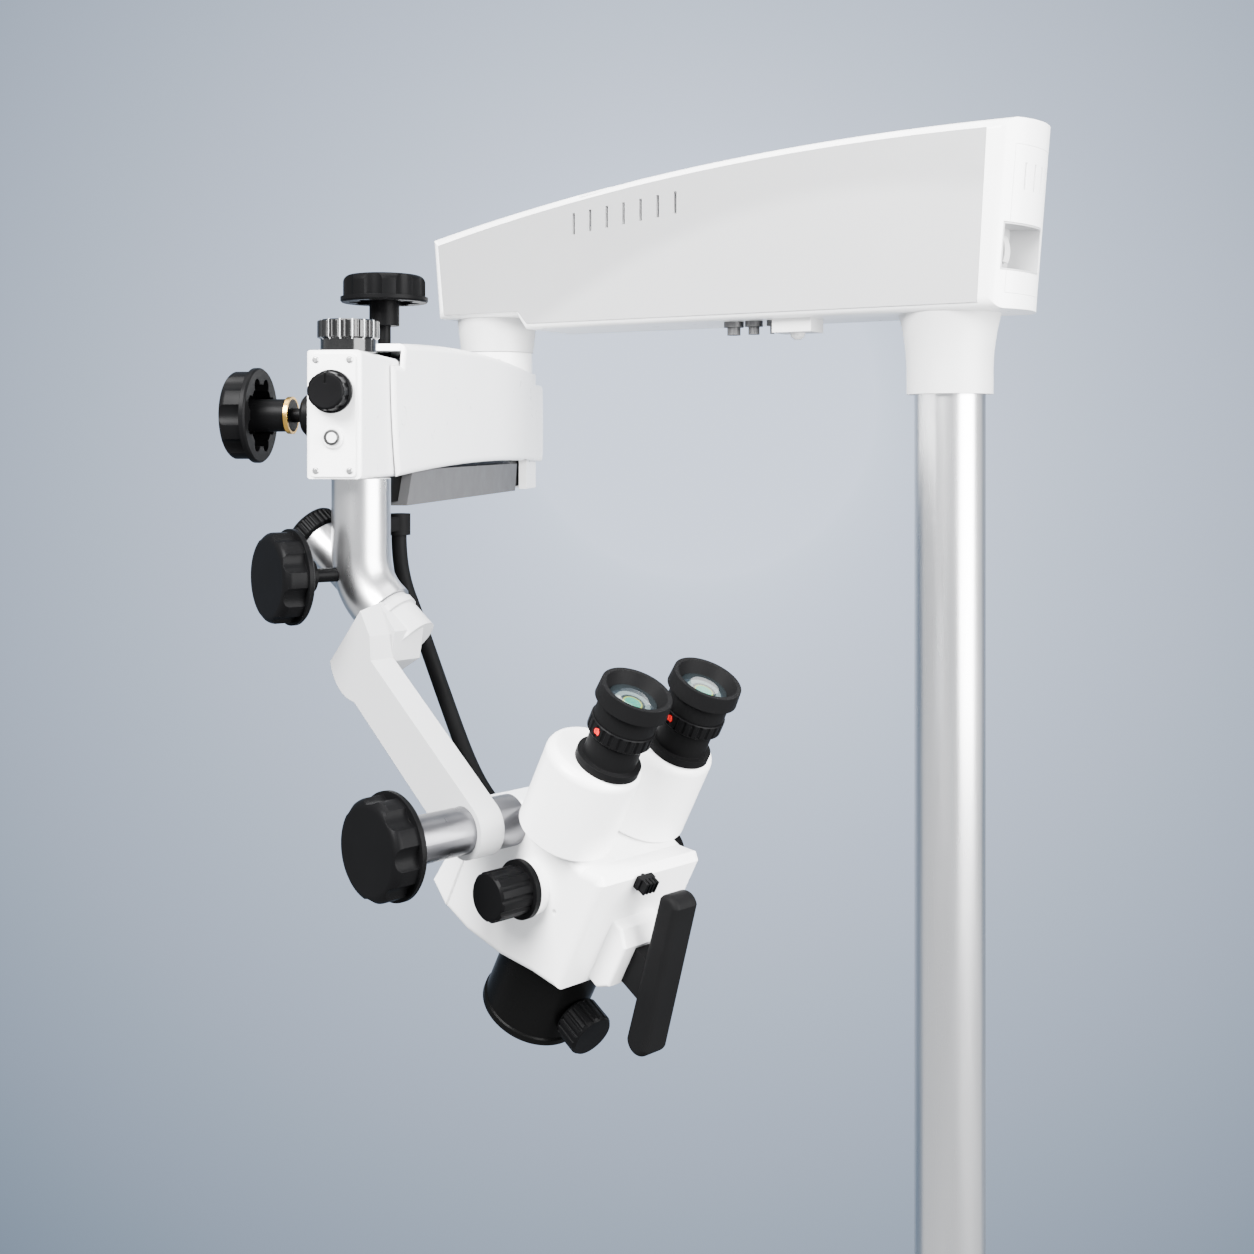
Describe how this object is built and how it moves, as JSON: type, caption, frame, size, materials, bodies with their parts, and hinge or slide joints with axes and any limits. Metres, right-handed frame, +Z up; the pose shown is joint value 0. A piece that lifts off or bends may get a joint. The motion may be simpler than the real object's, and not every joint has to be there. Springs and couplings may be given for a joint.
{
  "type": "surgical microscope",
  "caption": "Ceiling-post or stand mounted operating microscope: main arm, spring balance arm, bent drop tube, C-shaped arm and tilting binocular head with clamp knobs.",
  "frame": {"origin": "centre of the column's lower end", "axes": "+Z up the column, main arm out along -X"},
  "size_m": [0.6027, 0.6348, 0.9827],
  "materials": {
    "column_tube": "satin",
    "column_bearing": "satin",
    "arm_beam": "satin",
    "arm_shell_left": "satin",
    "arm_shell_right": "satin",
    "side_panels": "matte",
    "sleeve_halves": "satin",
    "neck_cover": "satin",
    "rear_panel": "matte",
    "inlet_holder": "matte",
    "inlet_socket": "matte",
    "underside_sockets": "matte",
    "sensor_box": "matte",
    "rocker_switch": "satin",
    "rear_bracket": "satin",
    "neck_collar": "satin",
    "rear_pins": "satin",
    "upper_link": "satin",
    "balance_spring": "satin",
    "cover_left": "satin",
    "cover_right": "satin",
    "lower_link": "satin",
    "link_tray": "matte",
    "front_block": "satin",
    "front_pins": "satin",
    "front_plate": "satin",
    "plate_screws": "satin",
    "key_bezel": "satin",
    "clamp_washer": "satin",
    "key_button": "satin",
    "brightness_knob": "matte",
    "top_knob": "matte",
    "left_knob": "matte",
    "knob_ring": "satin",
    "block_ring": "matte",
    "drop_tube": "satin",
    "cable_gland": "matte",
    "elbow_knob": "matte",
    "elbow_ring": "matte",
    "c_arm": "satin",
    "lamp_cable": "matte",
    "head_shell": "satin",
    "head_rear_cover": "satin",
    "tilt_shaft": "satin",
    "handle_bracket": "satin",
    "t_handle": "matte",
    "objective_housing": "satin",
    "head_knob": "matte",
    "magnification_knobs": "matte",
    "filter_lever": "matte",
    "focus_knob": "matte",
    "objective_lens": "coated",
    "barrel_left": "satin",
    "eyepiece_left": "matte",
    "eye_lens_left": "coated",
    "barrel_right": "satin",
    "eyepiece_right": "matte",
    "eye_lens_right": "coated",
    "dioptre_ring_left": "matte",
    "dioptre_ring_right": "matte"
  },
  "bodies": {
    "column": {"column_tube": "column_tube", "column_bearing": "column_bearing"},
    "main_arm": {"arm_beam": "arm_beam", "arm_shell_left": "arm_shell_left", "arm_shell_right": "arm_shell_right", "side_panels": "side_panels", "sleeve_halves": "sleeve_halves", "neck_cover": "neck_cover", "rear_panel": "rear_panel", "inlet_holder": "inlet_holder", "inlet_socket": "inlet_socket", "underside_sockets": "underside_sockets", "sensor_box": "sensor_box"},
    "mains_rocker": {"rocker_switch": "rocker_switch"},
    "swing_bracket": {"rear_bracket": "rear_bracket", "neck_collar": "neck_collar", "rear_pins": "rear_pins"},
    "balance_arm": {"upper_link": "upper_link", "balance_spring": "balance_spring", "cover_left": "cover_left", "cover_right": "cover_right"},
    "guide_link": {"lower_link": "lower_link", "link_tray": "link_tray"},
    "block": {"front_block": "front_block", "front_pins": "front_pins", "front_plate": "front_plate", "plate_screws": "plate_screws", "key_bezel": "key_bezel", "clamp_washer": "clamp_washer"},
    "key": {"key_button": "key_button"},
    "dial": {"brightness_knob": "brightness_knob"},
    "arm_knob": {"top_knob": "top_knob"},
    "block_knob": {"left_knob": "left_knob", "knob_ring": "knob_ring"},
    "tube_ring": {"block_ring": "block_ring"},
    "drop": {"drop_tube": "drop_tube", "cable_gland": "cable_gland"},
    "drop_knob": {"elbow_knob": "elbow_knob"},
    "drop_ring": {"elbow_ring": "elbow_ring"},
    "yoke": {"c_arm": "c_arm", "lamp_cable": "lamp_cable"},
    "head": {"head_shell": "head_shell", "head_rear_cover": "head_rear_cover", "tilt_shaft": "tilt_shaft", "handle_bracket": "handle_bracket", "t_handle": "t_handle", "objective_housing": "objective_housing"},
    "tilt_knob": {"head_knob": "head_knob"},
    "drum": {"magnification_knobs": "magnification_knobs"},
    "lever": {"filter_lever": "filter_lever"},
    "focus": {"focus_knob": "focus_knob"},
    "lens": {"objective_lens": "objective_lens"},
    "left_barrel": {"barrel_left": "barrel_left", "eyepiece_left": "eyepiece_left", "eye_lens_left": "eye_lens_left"},
    "right_barrel": {"barrel_right": "barrel_right", "eyepiece_right": "eyepiece_right", "eye_lens_right": "eye_lens_right"},
    "left_dioptre": {"dioptre_ring_left": "dioptre_ring_left"},
    "right_dioptre": {"dioptre_ring_right": "dioptre_ring_right"}
  },
  "joints": [
    {"name": "arm_swing", "type": "hinge", "parent": "column", "child": "main_arm", "pos_m": [0, 0, 0.8], "axis": [0, 0, 1], "range_deg": [-160, 160]},
    {"name": "mains_switch", "type": "hinge", "parent": "main_arm", "child": "mains_rocker", "pos_m": [0.04812, -0.0155, 0.88017], "axis": [0, -1, 0], "range_deg": [-4, 4]},
    {"name": "balance_swing", "type": "hinge", "parent": "main_arm", "child": "swing_bracket", "pos_m": [-0.468, 0, 0.8], "axis": [0, 0, 1], "range_deg": [-150, 15]},
    {"name": "balance_lift", "type": "hinge", "parent": "swing_bracket", "child": "balance_arm", "pos_m": [-0.468, 0, 0.768], "axis": [0.9191, 0.3939, 0], "range_deg": [-15, 25]},
    {"name": "guide_lift", "type": "hinge", "parent": "swing_bracket", "child": "guide_link", "pos_m": [-0.468, 0, 0.704], "axis": [0.9191, 0.3939, 0], "range_deg": [-15, 25]},
    {"name": "block_level", "type": "hinge", "parent": "balance_arm", "child": "block", "pos_m": [-0.29467, -0.40442, 0.768], "axis": [0.9191, 0.3939, 0], "range_deg": [-25, 15]},
    {"name": "arm_knob_turn", "type": "hinge", "parent": "balance_arm", "child": "arm_knob", "pos_m": [-0.30727, -0.37501, 0.823], "axis": [0, 0, 1], "continuous": true},
    {"name": "block_knob_turn", "type": "hinge", "parent": "block", "child": "block_knob", "pos_m": [-0.31685, -0.49226, 0.7383], "axis": [-0.9191, -0.3939, 0], "continuous": true},
    {"name": "tube_ring_turn", "type": "hinge", "parent": "block", "child": "tube_ring", "pos_m": [-0.2728, -0.45543, 0.781], "axis": [0, 0, 1], "continuous": true},
    {"name": "dial_turn", "type": "hinge", "parent": "block", "child": "dial", "pos_m": [-0.26, -0.4853, 0.7535], "axis": [0.3939, -0.9191, 0], "range_deg": [-150, 150]},
    {"name": "key_press", "type": "slide", "parent": "block", "child": "key", "axis": [-0.3939, 0.9191, 0], "range_m": [0, 0.002], "stiffness_N_per_m": 400, "springref_m": -0.0005},
    {"name": "tube_swing", "type": "hinge", "parent": "block", "child": "drop", "pos_m": [-0.26831, -0.44752, 0.7], "axis": [0, 0, 1], "range_deg": [-120, 30]},
    {"name": "drop_knob_turn", "type": "hinge", "parent": "drop", "child": "drop_knob", "pos_m": [-0.28726, -0.49228, 0.631], "axis": [-0.3899, -0.9208, 0], "continuous": true},
    {"name": "drop_ring_turn", "type": "hinge", "parent": "drop", "child": "drop_ring", "pos_m": [-0.30528, -0.45121, 0.65746], "axis": [-0.7395, -0.0738, 0.6691], "continuous": true},
    {"name": "yoke_roll", "type": "hinge", "parent": "drop", "child": "yoke", "pos_m": [-0.24908, -0.4456, 0.6066], "axis": [0.7395, 0.0738, -0.6691], "range_deg": [-45, 45], "deforming": ["lamp_cable"]},
    {"name": "head_tilt", "type": "hinge", "parent": "yoke", "child": "head", "pos_m": [-0.11583, -0.4323, 0.48602], "axis": [0.2756, 0.9613, 0], "range_deg": [-30, 30], "deforming": ["lamp_cable"]},
    {"name": "tilt_knob_turn", "type": "hinge", "parent": "head", "child": "tilt_knob", "pos_m": [-0.15138, -0.5563, 0.48602], "axis": [-0.2756, -0.9613, 0], "continuous": true},
    {"name": "drum_turn", "type": "hinge", "parent": "head", "child": "drum", "pos_m": [-0.09581, -0.43804, 0.44933], "axis": [0.2756, 0.9613, 0], "continuous": true},
    {"name": "lever_turn", "type": "hinge", "parent": "head", "child": "lever", "pos_m": [-0.03995, -0.46238, 0.4593], "axis": [0.8407, -0.2411, -0.4848], "range_deg": [-20, 20]},
    {"name": "focus_turn", "type": "hinge", "parent": "head", "child": "focus", "pos_m": [-0.10516, -0.43536, 0.35753], "axis": [0.8407, -0.2411, -0.4848], "range_deg": [-180, 180]},
    {"name": "lens_travel", "type": "slide", "parent": "head", "child": "lens", "axis": [0.466, -0.1336, 0.8746], "range_m": [-0.006, 0.006]},
    {"name": "left_barrel_turn", "type": "hinge", "parent": "head", "child": "left_barrel", "pos_m": [-0.08647, -0.47297, 0.48703], "axis": [0.466, -0.1336, 0.8746], "range_deg": [-20, 20]},
    {"name": "left_dioptre_turn", "type": "hinge", "parent": "left_barrel", "child": "left_dioptre", "pos_m": [-0.04134, -0.48487, 0.55264], "axis": [0.466, -0.1336, 0.8746], "range_deg": [-150, 150]},
    {"name": "right_barrel_turn", "type": "hinge", "parent": "head", "child": "right_barrel", "pos_m": [-0.06938, -0.41337, 0.48703], "axis": [0.466, -0.1336, 0.8746], "range_deg": [-20, 20]},
    {"name": "right_dioptre_turn", "type": "hinge", "parent": "right_barrel", "child": "right_dioptre", "pos_m": [-0.0248, -0.42719, 0.55264], "axis": [0.466, -0.1336, 0.8746], "range_deg": [-150, 150]}
  ],
  "couplings": [
    {"joint": "guide_lift", "follows": "balance_lift", "ratio": 1},
    {"joint": "block_level", "follows": "balance_lift", "ratio": -1},
    {"joint": "right_barrel_turn", "follows": "left_barrel_turn", "ratio": -1},
    {"joint": "focus_turn", "follows": "lens_travel", "rad_per_m": 523.6}
  ]
}
